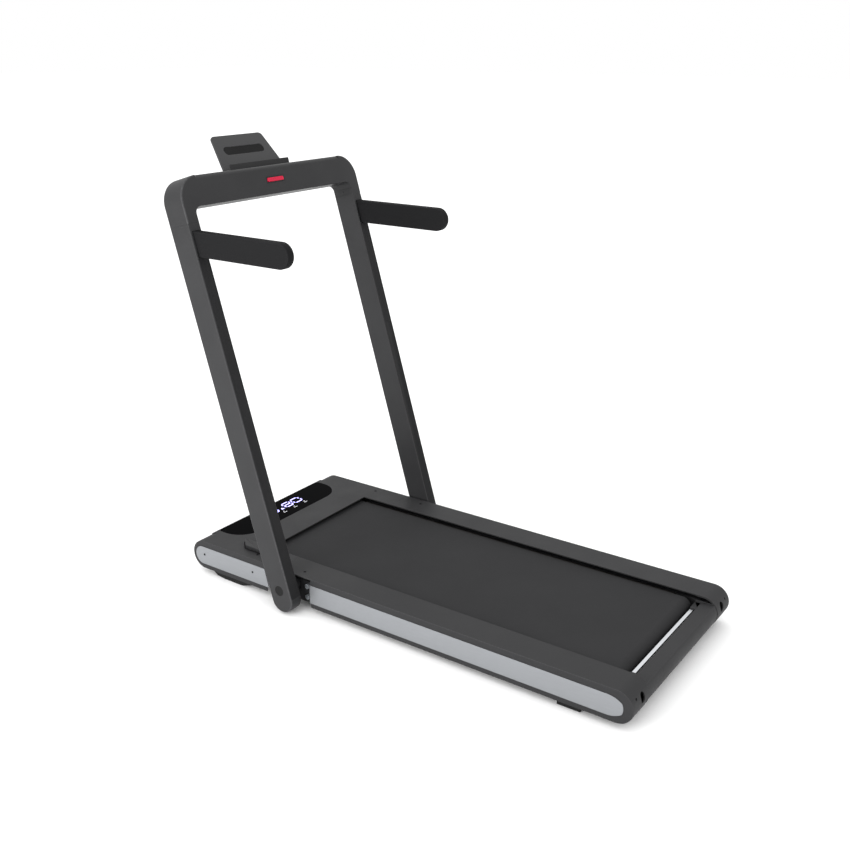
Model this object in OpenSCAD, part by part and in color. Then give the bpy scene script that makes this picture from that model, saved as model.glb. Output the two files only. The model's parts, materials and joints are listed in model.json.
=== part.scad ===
// Folding walking treadmill with a U-shaped handle frame.
// X points to the user's right, Y the way the user walks, Z up.
// The origin is on the floor under the middle of the bounding box.

/* [Deck] */
// Width of the deck across both side rails
deck_w = 600; // [560:5:640]
// Length of the deck from rear tip to front tip
deck_l = 1387.3; // [1340:0.1:1430]
// Thickness of the deck covers
deck_h = 86.2; // [84:0.1:90]
// Gap between the deck underside and the floor
ground_gap = 15.5; // [14:0.5:18]
// Overall length with the tablet holder
overall_l = 1419.7; // [1410:0.1:1440]
// Width of the belt opening between the rails
opening_w = 432; // [428:1:436]
// Distance from the front tip to the rear edge of the hood
hood_l = 228.4; // [224:0.1:232]
// Wall thickness of the plastic covers
cover_wall = 3.5; // [3:0.1:4]

/* [Walking belt] */
// Width of the walking belt
belt_w = 420; // [400:1:422]
// Thickness of the walking belt
belt_t = 2; // [1.6:0.1:2.2]
// Radius of both rollers
roller_r = 21; // [20:0.1:21.5]
// Height of both roller axles above the floor
axle_z = 65; // [64:0.5:65.5]
// Distance from the rear tip to the rear roller axle
rear_axle_inset = 94.85; // [92:0.05:98]
// Distance from the front tip to the front roller axle
front_axle_inset = 197.45; // [195:0.05:200]
// Thickness of the running board
board_t = 12; // [10:1:12]

/* [Handle frame] */
// Outer width of the handle frame
frame_w = 698.8; // [690:0.2:710]
// Width of one upright
upright_w = 38.1; // [37:0.1:38.4]
// Fore-aft depth of the uprights and the crossbar
upright_d = 71; // [70:0.5:72]
// Forward lean of the uprights in degrees
lean = 16.37; // [16:0.01:17]
// Distance from the front tip back to the frame pivot
pivot_inset = 378.95; // [376:0.05:382]
// Height of the frame pivot above the floor
pivot_z = 68.3; // [67:0.1:70]
// Distance from the pivot to the lower end of an upright
foot_end = 63.5; // [62:0.5:64]
// Distance from the pivot to the underside of the crossbar
bar_low = 1028; // [1020:1:1040]
// Distance from the pivot to the top of the crossbar
bar_top = 1107.2; // [1100:0.1:1115]
// Outer corner radius of the frame
corner_r = 65; // [50:1:75]
// Inner corner radius of the frame
inner_r = 18; // [12:1:22]

/* [Armrests] */
// Thickness of an armrest
arm_t = 24; // [22:0.5:24.5]
// Height of an armrest
arm_h = 65; // [62:0.5:65.5]
// Reach of an armrest from its pivot to its tip
arm_l = 344; // [300:1:350]
// Height of the armrest pivots along the uprights
arm_pivot = 946.4; // [940:0.1:950]

/* [Tablet holder] */
// Width of the holder plate along its top edge
plate_w = 196; // [190:1:210]
// Widening of the holder plate from its top edge down to its hinge
plate_flare = 41; // [30:1:45]
// Thickness of the holder plate
plate_t = 5.5; // [4:0.5:7]
// Length of the holder plate above its hinge
plate_l = 107.6; // [95:0.1:110]
// Backward tilt of the plate from the line of the uprights
plate_tilt = 21.5; // [15:0.5:25]
// Width of the holder ledge
ledge_w = 234; // [225:1:240]

/* [Hidden] */

$fn = 64;
fit = 0.05;        // radial clearance of a running fit
gap = 0.3;         // clearance between curved faces on different bodies
rear_y = -overall_l / 2;
front_y = rear_y + deck_l;
deck_z = ground_gap + deck_h;
mid_z = ground_gap + deck_h / 2;
tip_r = deck_h / 2;
rail_in = opening_w / 2;
hood_y = front_y - hood_l;
seam_y = hood_y - 107;
pivot_y = front_y - pivot_inset;
rear_axle_y = rear_y + rear_axle_inset;
front_axle_y = front_y - front_axle_inset;
belt_in_r = roller_r + gap;
belt_out_r = belt_in_r + belt_t;
board_z = axle_z + belt_in_r - gap - board_t;

upright_out = frame_w / 2;
upright_in = upright_out - upright_w;
upright_mid = (upright_out + upright_in) / 2;
half_d = upright_d / 2;
upright_top = bar_low - 38;
arm_pivot_d = -1.5;

frame_x0 = 225;    // inner face of a side frame tube
frame_x1 = 265;    // outer face of a side frame tube
frame_z0 = 20;
frame_z1 = 84;
bracket_x = 288;   // outer face of a pivot bracket
notch_y0 = pivot_y - 67.5;
notch_y1 = pivot_y + 93;
notch_top = 98;
cover_top = 84;    // top of the rear cover, lower than the rails
trim_t = 1.5;
trim_z0 = 29.5;
trim_h = 54.3;
trim_z = trim_z0 + trim_h / 2;

motor_y = front_y - 87.5;
motor_z = 60;
motor_r = 33;
pulley_x = 223;    // outer face of both drive pulleys
pulley_w = 10;
roller_pulley_r = 30;
motor_pulley_r = 12;

// Colours
charcoal = [0.16, 0.16, 0.17];
soft_black = [0.10, 0.10, 0.11];
silver = [0.62, 0.63, 0.65];
steel = [0.70, 0.70, 0.72];
galvanised = [0.45, 0.46, 0.48];

// ---- shared shapes -------------------------------------------------------

// A block given by its low and high corners
module block(low, high) {
    translate(low) cube(high - low);
}

// A rod along X between two x values
module rod_x(r, x0, x1, y, z) {
    translate([x0, y, z]) rotate([0, 90, 0]) cylinder(r = r, h = x1 - x0);
}

// Extrudes an outline drawn in (Y, Z) along X
module along_x(x0, x1) {
    translate([x0, 0, 0]) rotate([90, 0, 90]) linear_extrude(x1 - x0) children();
}

// Mirrors its children to both sides, or makes one side with side = -1 or 1
module on_side(side) {
    mirror([side < 0 ? 1 : 0, 0, 0]) children();
}

module both_sides() {
    on_side(-1) children();
    on_side(1) children();
}

// Places parts of the handle frame: Z runs up the upright from the pivot
module in_frame() {
    translate([0, pivot_y, pivot_z]) rotate([-lean, 0, 0]) children();
}

// Side outline of the deck with full-round ends, inset evenly by t
module deck_outline(t = 0) {
    r = tip_r - t;
    for (y = [rear_y + tip_r, front_y - tip_r]) translate([y, mid_z]) circle(r);
    translate([rear_y + tip_r, mid_z - r]) square([deck_l - 2 * tip_r, 2 * r]);
}

// Rectangle with two corner radii made of exact arcs
module round_rect(w, h, r) {
    for (x = [r, w - r], y = [r, h - r]) translate([x, y]) circle(r);
    translate([r, 0]) square([w - 2 * r, h]);
    translate([0, r]) square([w, h - 2 * r]);
}

// Hexagon bolt head, axis along X, standing outward from x
module hex_head_x(af, x, h, y, z) {
    translate([x, y, z]) rotate([0, 90, 0]) cylinder(r = af / sqrt(3), h = h, $fn = 6);
}

// ---- deck frame ------------------------------------------------------------

module side_frames() color(charcoal) both_sides() difference() {
    y0 = rear_y + 36;
    y1 = front_y - 40;
    wall = 2.5;
    block([frame_x0, y0, frame_z0], [frame_x1, y1, frame_z1]);
    block([frame_x0 + wall, y0 + 3, frame_z0 + wall],
        [frame_x1 - wall, y1 + 1, frame_z1 - wall]);
    rod_x(8 + fit, frame_x0 - 1, frame_x1 + 1, front_axle_y, axle_z);
    rod_x(8 + fit, frame_x0 - 1, frame_x1 + 1, rear_axle_y, axle_z);
    translate([245, y0 - 1, axle_z]) rotate([-90, 0, 0]) cylinder(r = 4 + fit, h = 5);
}

module cross_members() color(charcoal) for (y = [-540, -250, 40, 330]) difference() {
    block([-frame_x0, y - 15, 47], [frame_x0, y + 15, 70]);
    block([-frame_x0 - 1, y - 13, 49], [frame_x0 + 1, y + 13, 68]);
}

module deck_cushions() color(soft_black) for (y = [-540, -250, 40, 330])
    for (x = [-180, 180]) translate([x, y, 70]) cylinder(r = 12, h = board_z - 70);

module running_board() color([0.45, 0.33, 0.22]) {
    block([-220, rear_axle_y + 30, board_z], [220, hood_y - 9, board_z + board_t]);
}

// ---- covers ----------------------------------------------------------------

// Hollow shell of the deck outline between two y values on the right rail
module rail_shell(y0, y1) {
    difference() {
        intersection() {
            along_x(rail_in, deck_w / 2) deck_outline();
            block([rail_in, y0, 0], [deck_w / 2, y1, deck_z + 1]);
        }
        along_x(rail_in + 3, deck_w / 2 - cover_wall) deck_outline(cover_wall);
        block([rail_in + 3, rear_y + tip_r, 0], [deck_w / 2 - cover_wall, front_y - tip_r, 30]);
        block([rail_in - 1, rear_y + 62, 0], [rail_in + 5, hood_y + 60, deck_z - cover_wall]);
        intersection() {
            along_x(rail_in - 1, rail_in + 5) deck_outline(5);
            block([rail_in - 1, rear_y, cover_top + 2], [rail_in + 5, rear_y + 63, deck_z]);
        }
        bracket_notch();
        trim_pockets();
    }
}

// Opening in the side of the covers that shows the pivot bracket
module bracket_notch() {
    block([bracket_x, notch_y0, 0], [deck_w / 2 + 1, notch_y1, notch_top]);
}

// Shallow seats that the side trims lie in
module trim_pockets() {
    along_x(deck_w / 2 - 1, deck_w / 2 + 1) trim_rear_outline(0.2);
    along_x(deck_w / 2 - 1, deck_w / 2 + 1) trim_front_outline(0.2);
}

module rail_right_shape() {
    difference() {
        rail_shell(rear_y - 1, seam_y - 0.2);
        rear_end_holes();
    }
}

// Tension slot and small screw hole in the rounded rear end of a rail
module rear_end_holes() {
    slot_r = 9.5;
    for (z = [66, 73]) translate([248, rear_y + 20, z]) rotate([90, 0, 0])
        cylinder(r = slot_r, h = 40);
    block([248 - slot_r, rear_y - 20, 66], [248 + slot_r, rear_y + 20, 73]);
    translate([277, rear_y + 20, 79]) rotate([90, 0, 0]) cylinder(r = 3.2, h = 40);
}

module rail_left() color(charcoal) on_side(-1) rail_right_shape();
module rail_right() color(charcoal) on_side(1) rail_right_shape();

module hood() color(charcoal) difference() {
    union() {
        both_sides() rail_shell(seam_y, front_y + 1);
        difference() {
            intersection() {
                along_x(-rail_in - 2, rail_in + 2) deck_outline();
                block([-rail_in - 2, hood_y, 0], [rail_in + 2, front_y + 1, deck_z + 1]);
            }
            along_x(-rail_in - 3, rail_in + 3) deck_outline(cover_wall);
            block([-rail_in - 3, hood_y - 1, 0],
                [rail_in + 3, front_y - tip_r, deck_z - cover_wall]);
        }
        hood_pod();
        pedal_cup();
    }
    display_seat();
    pedal_pocket();
    panel_cutout();
    block([-rail_in - 5, hood_y + 4, 0], [rail_in + 5, front_y - tip_r, deck_z - cover_wall]);
}

// Flat raised front of the hood that carries the display
module hood_pod() {
    pod_w = 486;
    pod_y1 = front_y - 18.5;
    pod_r = 9;
    block([-pod_w / 2, front_y - 60, deck_z - cover_wall], [pod_w / 2, pod_y1 - pod_r, deck_z]);
    difference() {
        rod_x(pod_r, -pod_w / 2, pod_w / 2, pod_y1 - pod_r, deck_z - pod_r);
        along_x(-pod_w, pod_w) deck_outline(cover_wall);
    }
}

lens_y0 = front_y - 129;
lens_l = 101;
lens_w = 444;
lens_t = 2;

// Display outline grown by t, with wide rear corners and tight front corners
module lens_outline(t = 0) {
    rear_r = 72;
    front_r = 10;
    for (s = [-1, 1]) {
        intersection() {
            translate([s * (lens_w / 2 - rear_r), rear_r]) circle(rear_r + t);
            translate([-lens_w, -t - 1]) square([2 * lens_w, rear_r + t + 1]);
        }
        translate([s * (lens_w / 2 - front_r), lens_l - front_r]) circle(front_r + t);
    }
    translate([-lens_w / 2 + rear_r, -t]) square([lens_w - 2 * rear_r, rear_r + t]);
    translate([-lens_w / 2 + front_r, rear_r]) square([lens_w - 2 * front_r, lens_l - rear_r + t]);
    translate([-lens_w / 2 - t, rear_r]) square([lens_w + 2 * t, lens_l - rear_r - front_r]);
}

module display_seat() {
    translate([0, lens_y0, deck_z - lens_t]) linear_extrude(5) lens_outline(0.3);
    block([-70, lens_y0 + 40, deck_z - 8], [70, lens_y0 + 88, deck_z]);
}

module display_lens() color([0.02, 0.02, 0.025])
    translate([0, lens_y0, deck_z - lens_t]) linear_extrude(lens_t) lens_outline();

module display_board() color([0.10, 0.30, 0.16]) {
    block([-66, lens_y0 + 44, deck_z - 7.5], [66, lens_y0 + 84, deck_z - 5.9]);
    block([-42, lens_y0 + 52, deck_z - 5.9], [42, lens_y0 + 76, deck_z - lens_t]);
}

// Cover across the deck's rear end, with two lugs that hold the guard bar
module rear_cover() color(charcoal) {
    cover_x = rail_in - 0.4;
    rear_shell(cover_x);
    both_sides() block([guard_half, rear_y + 42, 66], [cover_x, rear_y + 63, 80]);
}

module rear_shell(cover_x) {
    top = cover_top;
    difference() {
        intersection() {
            along_x(-cover_x, cover_x) deck_outline(1);
            block([-cover_x, rear_y - 1, 0], [cover_x, rear_y + 45, top]);
        }
        intersection() {
            along_x(-cover_x - 1, cover_x + 1) deck_outline(1 + cover_wall);
            block([-cover_x - 2, rear_y - 1, 0], [cover_x + 2, rear_y + 50, top - cover_wall]);
        }
    }
    block([-cover_x + 2, rear_y + 43, 76], [cover_x - 2, rear_y + 46.5, top - 1]);
}

guard_half = 181;

module guard_bar() color(steel)
    block([-guard_half, rear_y + 53, 72], [guard_half, rear_y + 63, 76]);

// Side trim in front of the upright, grown by t, with its rear end cut on the slant
module trim_front_outline(t = 0) {
    r = trim_h / 2;
    tip = front_y - 10.5;
    slant = trim_h * tan(14.5);
    translate([tip - r, trim_z]) circle(r + t);
    polygon([[pivot_y + 85 - t, trim_z0 - t], [tip - r, trim_z0 - t],
        [tip - r, trim_z0 + trim_h + t], [pivot_y + 85 + slant - t, trim_z0 + trim_h + t]]);
}

// Side trim behind the upright, grown by t, with an oval rear tip
module trim_rear_outline(t = 0) {
    oval_l = 42;
    side_r = 65;
    nose_r = 29;
    y0 = rear_y + 24.5 + oval_l;
    intersection() {
        translate([y0, trim_z0 + side_r]) circle(side_r + t);
        translate([y0, trim_z0 + trim_h - side_r]) circle(side_r + t);
        union() {
            translate([y0 - oval_l + nose_r, trim_z]) circle(nose_r + t);
            translate([y0 - oval_l + nose_r, trim_z0 - t])
                square([oval_l - nose_r, trim_h + 2 * t]);
        }
    }
    translate([y0, trim_z0 - t]) square([notch_y0 + 2.5 + t - y0, trim_h + 2 * t]);
}

module front_trim() along_x(deck_w / 2 - 1, deck_w / 2 - 1 + trim_t) trim_front_outline();
module rear_trim() along_x(deck_w / 2 - 1, deck_w / 2 - 1 + trim_t) trim_rear_outline();

module trim_front_left() color(silver) on_side(-1) front_trim();
module trim_front_right() color(silver) on_side(1) front_trim();
module trim_rear_left() color(silver) on_side(-1) rear_trim();
module trim_rear_right() color(silver) on_side(1) rear_trim();

// Button-head screws in the trims and on top of the rails
module cover_screws() color(soft_black) both_sides() {
    for (y = [front_y - 45, front_y - 234]) rod_x(2.4, 300.5, 301.5, y, 60);
    for (y = [pivot_y - 26.5, pivot_y + 149.5]) translate([272.7, y, deck_z])
        cylinder(r = 4, h = 1);
}

// ---- drive -----------------------------------------------------------------

module underpan() color(soft_black) difference() {
    block([-248, front_axle_y + 30, ground_gap], [248, front_y - 44, ground_gap + 2.5]);
    for (x = [-180:30:180]) block([x - 3, motor_y - 20, 0], [x + 3, motor_y + 20, 30]);
}

module motor_mount() color(galvanised) {
    z0 = ground_gap + 2.5;
    difference() {
        union() {
            block([-frame_x0, front_axle_y + 32, z0], [frame_x0, front_y - 44, z0 + 3]);
            for (x = [-130, 20]) block([x, motor_y - 25, z0], [x + 12, motor_y + 25, 44]);
        }
        rod_x(motor_r, -150, 60, motor_y, motor_z);
        for (x = [-180:30:180]) block([x - 3, motor_y - 20, 0], [x + 3, motor_y + 20, z0 + 4]);
    }
}

module motor_case() color(soft_black) difference() {
    rod_x(motor_r, -145, 45, motor_y, motor_z);
    rod_x(6 + fit, -146, 46, motor_y, motor_z);
}

module motor_rotor() color(steel) {
    rod_x(6, -pulley_x, 75, motor_y, motor_z);
    rod_x(motor_pulley_r, -pulley_x, -pulley_x + pulley_w, motor_y, motor_z);
    rod_x(10, 52, 72, motor_y, motor_z);
    for (a = [0:45:315]) translate([54, motor_y, motor_z]) rotate([a, 0, 0])
        block([0, -1, 9], [14, 1, 30]);
}

module drive_loop(extra) {
    hull() {
        translate([front_axle_y, axle_z]) circle(roller_pulley_r + gap + extra);
        translate([motor_y, motor_z]) circle(motor_pulley_r + gap + extra);
    }
}

module drive_belt() color(soft_black) along_x(-pulley_x + 0.5, -pulley_x + pulley_w - 0.5)
    difference() {
        drive_loop(2.2);
        drive_loop(0);
    }

module control_board() color([0.10, 0.30, 0.16]) {
    y0 = motor_y - 45;
    block([92, y0, 34], [190, y0 + 90, 35.6]);
    for (p = [[105, 15], [130, 15], [155, 15]]) translate([p[0], y0 + p[1], 35.6])
        cylinder(r = 9, h = 30);
    block([100, y0 + 40, 35.6], [140, y0 + 70, 60]);
    block([96, y0 + 3, ground_gap + 5.5], [100, y0 + 7, 34]);
    block([182, y0 + 83, ground_gap + 5.5], [186, y0 + 87, 34]);
}

module heatsink() color(silver) difference() {
    y0 = motor_y - 45;
    block([192, y0, ground_gap + 5.5], [216, y0 + 90, 70]);
    for (y = [y0 + 5:8:y0 + 80]) block([198, y, ground_gap + 8], [217, y + 5, 71]);
}

module panel_cutout() {
    block([80, front_y - 8, 36], [200, front_y + 1, 74]);
}

switch_x = 142;
switch_y = front_y - 11;
panel_z = 55;
breaker_x = 178;

// Plate in the deck's front with the mains inlet, the switch housing and the breaker hole
module power_inlet() color(soft_black) {
    difference() {
        union() {
            block([80.3, front_y - 8, 36.3], [199.7, front_y - 5, 73.7]);
            block([86, front_y - 34, 42], [120, front_y - 5, 68]);
            block([switch_x - 14, front_y - 24, 40], [switch_x + 14, front_y - 5, 70]);
        }
        block([89, front_y - 22, 45], [117, front_y + 1, 65]);
        block([switch_x - 10, front_y - 26, 44], [switch_x + 10, front_y + 1, 66]);
        rod_x(2 + fit, switch_x - 13, switch_x + 13, switch_y, panel_z);
        translate([breaker_x, front_y - 30, panel_z]) rotate([-90, 0, 0])
            cylinder(r = 8, h = 40);
    }
    for (pin = [[96, 52], [110, 52], [103, 59]])
        block([pin[0] - 1, front_y - 22, pin[1] - 2], [pin[0] + 1, front_y - 12, pin[1] + 2]);
}

module rocker_switch() color([0.75, 0.08, 0.08]) {
    rod_x(8, switch_x - 9, switch_x + 9, switch_y, panel_z);
    rod_x(2, switch_x - 12.5, switch_x + 12.5, switch_y, panel_z);
    translate([switch_x, switch_y, panel_z]) rotate([6, 0, 0]) block([-9, -2, -9], [9, 7.5, 9]);
}

module breaker_body() color(soft_black) difference() {
    translate([breaker_x, front_y - 30, panel_z]) rotate([-90, 0, 0]) cylinder(r = 8, h = 28);
    translate([breaker_x, front_y - 12, panel_z]) rotate([-90, 0, 0]) cylinder(r = 4.5 + fit, h = 12);
}

module breaker_button() color([0.85, 0.85, 0.85]) {
    translate([breaker_x, front_y - 8, panel_z]) rotate([-90, 0, 0]) cylinder(r = 4.5, h = 8);
}

// ---- rollers and belt --------------------------------------------------------

module belt_outline(r) {
    for (y = [rear_axle_y, front_axle_y]) translate([y, axle_z]) circle(r);
    translate([rear_axle_y, axle_z - r]) square([front_axle_y - rear_axle_y, 2 * r]);
}

module walking_belt() color(soft_black) along_x(-belt_w / 2, belt_w / 2) difference() {
    belt_outline(belt_out_r);
    belt_outline(belt_in_r);
}

// Tube with end bores for its two bearings
module roller_tube(y) {
    difference() {
        rod_x(roller_r, -212, 212, y, axle_z);
        rod_x(16, -213, 213, y, axle_z);
    }
}

module front_roller() color(steel) {
    roller_tube(front_axle_y);
    difference() {
        rod_x(roller_pulley_r, -pulley_x, -212, front_axle_y, axle_z);
        rod_x(16, -pulley_x - 1, -211, front_axle_y, axle_z);
    }
}

module rear_roller() color(steel) roller_tube(rear_axle_y);

module bearings(y) {
    both_sides() difference() {
        rod_x(16, 190, 202, y, axle_z);
        rod_x(8 + fit, 189, 203, y, axle_z);
    }
}

module front_bearings() color(galvanised) bearings(front_axle_y);
module rear_bearings() color(galvanised) bearings(rear_axle_y);
module front_axle() color(steel) rod_x(8, -frame_x1, frame_x1, front_axle_y, axle_z);
module rear_axle() color(steel) rod_x(8, -frame_x1, frame_x1, rear_axle_y, axle_z);

module tension_bolts() color(steel) both_sides() {
    y0 = rear_y + 36;
    translate([245, y0, axle_z]) rotate([-90, 0, 0])
        cylinder(r = 4, h = rear_axle_y - 8 - y0);
    translate([245, y0 - 6, axle_z]) rotate([-90, 0, 0]) difference() {
        cylinder(r = 6.5, h = 6);
        translate([0, 0, -1]) cylinder(r = 3.5, h = 5, $fn = 6);
    }
}

// ---- frame pivot -------------------------------------------------------------

module pivot_bracket() {
    y0 = notch_y0 + 5;
    y1 = pivot_y + 160;
    difference() {
        union() {
            block([frame_x1, y0, 22], [bracket_x, notch_y1 - 4, 97]);
            block([frame_x1 + 5, y0, 93], [bracket_x, y1, 97]);
        }
        block([frame_x1 - 1, y0 + 4, 21], [bracket_x - 5, notch_y1 - 8, 93]);
        rod_x(8, frame_x1, bracket_x + 1, pivot_y, pivot_z);
    }
}

module pivot_bracket_left() color(charcoal) on_side(-1) pivot_bracket();
module pivot_bracket_right() color(charcoal) on_side(1) pivot_bracket();

module pivot_pins() color(steel) both_sides() {
    rod_x(8, 272, 341, pivot_y, pivot_z);
    rod_x(12, 341, 345, pivot_y, pivot_z);
    hex_head_x(22, 272, 8, pivot_y, pivot_z);
}

module pivot_bushes() color(soft_black) both_sides() difference() {
    rod_x(22, bracket_x, upright_in - gap, pivot_y, pivot_z);
    rod_x(8, bracket_x - 1, upright_in, pivot_y, pivot_z);
}

module bracket_bolts() color(steel) both_sides() {
    for (z = [40, 72]) hex_head_x(13, bracket_x, 6.5, pivot_y - 50, z);
}

// ---- release pedal -------------------------------------------------------------

pedal_x0 = -264;
pedal_x1 = -231;
pedal_y0 = pivot_y + 143;
pedal_y1 = pivot_y + 234;
pedal_pin_y = pedal_y0 + 7;
pedal_pin_z = deck_z - 6;
pedal_rise = 12;

// Pedal outline seen from above, with its front outer corner cut at 45 degrees
module pedal_outline(t = 0) {
    polygon([[pedal_x0 - t, pedal_y0 - t], [pedal_x1 + t, pedal_y0 - t],
        [pedal_x1 + t, pedal_y1 + t], [pedal_x1 - 2 - t, pedal_y1 + t],
        [pedal_x0 - t, pedal_y1 - 31 + t]]);
}

// Cup under the hood that holds the pedal and its pin
module pedal_cup() {
    translate([0, 0, deck_z - 16.5]) linear_extrude(15) pedal_outline(4.5);
}

module pedal_pocket() {
    translate([0, 0, deck_z - 14]) linear_extrude(20) pedal_outline(2);
    rod_x(2.5, pedal_x0 - 4, pedal_x1 + 4, pedal_pin_y, pedal_pin_z);
}

module release_pedal() color(soft_black) difference() {
    union() {
        translate([0, 0, deck_z + 0.5]) linear_extrude(pedal_rise - 0.5) pedal_outline();
        block([pedal_x0 + 3, pedal_y0 + 2, deck_z - 10], [pedal_x1 - 3, pedal_y0 + 14, deck_z + 2]);
    }
    rod_x(2.5 + fit, pedal_x0 - 1, pedal_x1 + 1, pedal_pin_y, pedal_pin_z);
}

module pedal_pin() color(steel)
    rod_x(2.5, pedal_x0 - 4, pedal_x1 + 4, pedal_pin_y, pedal_pin_z);

// ---- feet and transport wheels ---------------------------------------------------

wheel_y = front_y - 107;
wheel_z = 22;
wheel_r = 20;

module front_foot() difference() {
    union() {
        along_x(252, 296) polygon([[pivot_y + 147, frame_z0], [pivot_y + 147, ground_gap],
            [pivot_y + 190, 1], [pivot_y + 196, 0], [front_y - 118, 0], [front_y - 88, 3.5],
            [front_y - 71, ground_gap], [front_y - 71, frame_z0]]);
        block([267, wheel_y - 24, frame_z0 - 1], [296, wheel_y + 24, 32]);
    }
    block([270.5, wheel_y - 21.5, -1], [292.5, wheel_y + 21.5, 45]);
    rod_x(3, 266, 297, wheel_y, wheel_z);
}

module front_foot_left() color(soft_black) on_side(-1) front_foot();
module front_foot_right() color(soft_black) on_side(1) front_foot();

module wheel() difference() {
    rod_x(wheel_r, 272, 291, wheel_y, wheel_z);
    rod_x(3 + fit, 271, 292, wheel_y, wheel_z);
}

module wheel_left() color(charcoal) on_side(-1) wheel();
module wheel_right() color(charcoal) on_side(1) wheel();
module wheel_axles() color(steel) both_sides() rod_x(3, 267, 296, wheel_y, wheel_z);

module rear_feet() color(soft_black) both_sides()
    block([250, rear_y + 135, 0], [290.4, rear_y + 196, frame_z0]);

// ---- handle frame -----------------------------------------------------------------

// Upright tube, drawn on the right side in the frame's own axes
module upright() difference() {
    z_solid = 46;
    z_slot = arm_pivot - arm_l - 6;
    union() {
        block([upright_in, -half_d, -foot_end + half_d], [upright_out, half_d, upright_top]);
        rod_x(half_d, upright_in, upright_out, 0, -foot_end + half_d);
    }
    block([upright_in + 3, -half_d + 3, z_solid], [upright_out - 3, half_d - 3, z_slot - 8]);
    rod_x(8 + fit, upright_in - 1, upright_out, 0, 0);
    rod_x(14.5, 340.5, upright_out + 1, 0, 0);
    arm_slot(z_slot);
    rod_x(4, upright_in + 2, 345, arm_pivot_d, arm_pivot);
}

// Space for the armrest: horizontal in use, flat in the upright when stowed
module arm_slot(z_slot) {
    x0 = upright_mid - arm_t / 2 - 0.5;
    x1 = upright_mid + arm_t / 2 + 0.5;
    r = arm_h / 2 + 1;
    h = arm_h / 2 + 0.5;
    rod_x(r, x0, x1, arm_pivot_d, arm_pivot);
    block([x0, -half_d - 1, z_slot], [x1, arm_pivot_d + h, arm_pivot]);
    translate([0, arm_pivot_d, arm_pivot]) rotate([lean, 0, 0])
        block([x0, -60, -h], [x1, 0, h]);
}

module upright_left() color(charcoal) in_frame() on_side(-1) upright();
module upright_right() color(charcoal) in_frame() on_side(1) upright();

// U-shaped outline of the crossbar with its two bent corners, in (X, Z)
module bar_outline() difference() {
    union() {
        translate([-upright_out, upright_top + 0.2])
            square([frame_w, bar_top - corner_r - upright_top - 0.2]);
        translate([-upright_out + corner_r, upright_top + 0.2])
            square([frame_w - 2 * corner_r, bar_top - upright_top - 0.2]);
        for (s = [-1, 1]) translate([s * (upright_out - corner_r), bar_top - corner_r])
            circle(corner_r);
    }
    translate([-frame_w, 0]) square([2 * frame_w, upright_top + 0.2]);
    translate([-upright_in, 0]) square([2 * upright_in, bar_low - inner_r]);
    translate([-upright_in + inner_r, 0]) square([2 * (upright_in - inner_r), bar_low]);
    for (s = [-1, 1]) translate([s * (upright_in - inner_r), bar_low - inner_r]) circle(inner_r);
}

module crossbar() color(charcoal) in_frame() difference() {
    edge = 12.5;
    translate([0, half_d, 0]) rotate([90, 0, 0]) linear_extrude(upright_d) bar_outline();
    block([-upright_out + 30, -half_d + 3, bar_low + 3], [upright_out - 30, half_d - 3, bar_top - 14]);
    both_sides() block([upright_in + 3, -half_d + 3, upright_top - 1],
        [upright_out - 3, half_d - 3, bar_low + 20]);
    both_sides() block([upright_in - 1, -28, upright_top + 4], [upright_in + 1.5, 33, bar_low - inner_r]);
    // rounded top rear edge between the bent corners
    difference() {
        block([-upright_out + corner_r, -half_d - 1, bar_top - edge],
            [upright_out - corner_r, -half_d + edge, bar_top + 1]);
        rod_x(edge, -upright_out, upright_out, -half_d + edge, bar_top - edge);
    }
    block([-36, -half_d - 1, key_z - 9], [36, -half_d + 8, key_z + 9]);
}

module pivot_caps() color(soft_black) in_frame() both_sides()
    rod_x(14.5, upright_out - 3.9, upright_out - 0.4, 0, 0);

module corner_plates() color(soft_black) in_frame() both_sides() {
    block([upright_in + 0.3, -27.7, upright_top + 4.3], [upright_in + 1.5, 32.7, bar_low - inner_r - 0.3]);
    rod_x(3, upright_in - 0.6, upright_in + 0.3, 2, upright_top + 12);
}

// ---- armrests -------------------------------------------------------------------------

// Armrest in its own axes: pivot at the origin, reaching back along -Y
module armrest() difference() {
    r = arm_h / 2;
    along_x(upright_mid - arm_t / 2, upright_mid + arm_t / 2) {
        circle(r);
        translate([-arm_l + r, 0]) circle(r);
        translate([-arm_l + r, -r]) square([arm_l - r, 2 * r]);
    }
    rod_x(4 + fit, upright_in, upright_out, 0, 0);
}

module at_arm_pivot() {
    in_frame() translate([0, arm_pivot_d, arm_pivot]) rotate([lean, 0, 0]) children();
}

module armrest_left() color(soft_black) at_arm_pivot() on_side(-1) armrest();
module armrest_right() color(soft_black) at_arm_pivot() on_side(1) armrest();
module arm_pins() color(steel) at_arm_pivot() both_sides() rod_x(4, upright_in + 2.2, 345, 0, 0);

// ---- safety key and tablet holder ---------------------------------------------------------

key_z = bar_top - 40.2;

module key_socket() color(soft_black) in_frame() difference() {
    block([-35.7, -half_d, key_z - 8.7], [35.7, -half_d + 8, key_z + 8.7]);
    block([-32, -half_d - 1, key_z - 5.8], [32, -half_d + 6, key_z + 5.8]);
}

module safety_key() color([0.80, 0.06, 0.12]) in_frame() {
    translate([-31.5, -half_d + 5.5, key_z - 5.4]) rotate([90, 0, 0])
        linear_extrude(8) round_rect(63, 10.8, 3.5);
}

hinge_d = 24;
hinge_z = bar_top + 8;
hinge_r = 2.5;
plate_y = 4.6;     // face of the plate in front of its hinge axis
ledge_y = 4.5;

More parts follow.
